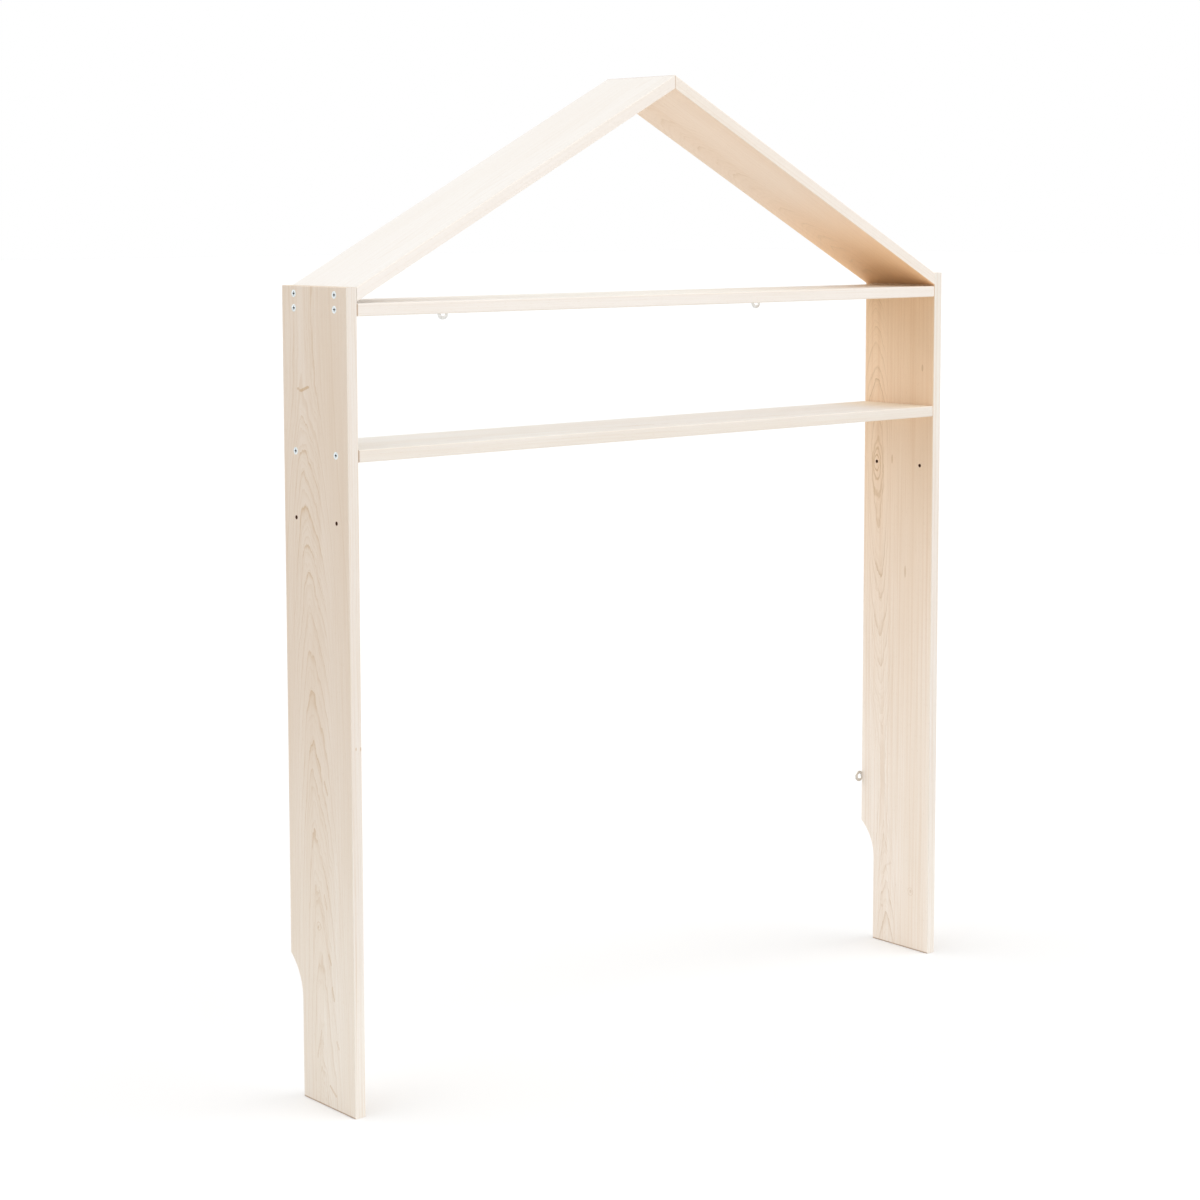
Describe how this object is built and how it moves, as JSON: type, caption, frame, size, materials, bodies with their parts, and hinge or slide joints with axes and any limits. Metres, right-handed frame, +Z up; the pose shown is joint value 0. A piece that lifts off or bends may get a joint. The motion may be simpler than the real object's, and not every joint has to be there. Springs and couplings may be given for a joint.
{
  "type": "house-shaped wall shelf",
  "caption": "House-shaped open shelf of solid maple boards: tall legs with skirting cut-outs, a pitched roof and level shelves, screwed together and fixed to a wall by eye plates.",
  "frame": {"origin": "on the floor, under the middle of the boards' width and depth", "axes": "+Z up; +Y toward the wall, so the open front faces -Y; +X to the right as seen from the front"},
  "size_m": [1.24, 0.16, 1.503],
  "materials": {
    "maple": "pale solid maple, fine satin clear oil",
    "beech": "plain unfinished dowel",
    "zinc_plated_steel": "bright zinc plate",
    "nickel_plated_steel": "satin nickel plate"
  },
  "bodies": {
    "root": {"leg_left": "maple", "roof_board_left": "maple", "leg_right": "maple", "roof_board_right": "maple", "upper_shelf": "maple", "lower_shelf": "maple", "ridge_dowel_front": "beech", "ridge_dowel_back": "beech", "roof_screw_left_front": "zinc_plated_steel", "roof_screw_left_back": "zinc_plated_steel", "roof_screw_right_front": "zinc_plated_steel", "roof_screw_right_back": "zinc_plated_steel", "upper_shelf_screw_left_front": "zinc_plated_steel", "upper_shelf_screw_left_back": "zinc_plated_steel", "upper_shelf_screw_right_front": "zinc_plated_steel", "upper_shelf_screw_right_back": "zinc_plated_steel", "lower_shelf_screw_left_front": "zinc_plated_steel", "lower_shelf_screw_left_back": "zinc_plated_steel", "lower_shelf_screw_right_front": "zinc_plated_steel", "lower_shelf_screw_right_back": "zinc_plated_steel", "plate_screw_shelf_left_1": "zinc_plated_steel", "plate_screw_shelf_left_2": "zinc_plated_steel", "plate_screw_leg_left_1": "zinc_plated_steel", "plate_screw_leg_left_2": "zinc_plated_steel", "plate_screw_shelf_right_1": "zinc_plated_steel", "plate_screw_shelf_right_2": "zinc_plated_steel", "plate_screw_leg_right_1": "zinc_plated_steel", "plate_screw_leg_right_2": "zinc_plated_steel", "wall_plate_shelf_left": "nickel_plated_steel", "wall_plate_leg_left": "nickel_plated_steel", "wall_plate_shelf_right": "nickel_plated_steel", "wall_plate_leg_right": "nickel_plated_steel"}
  },
  "joints": []
}
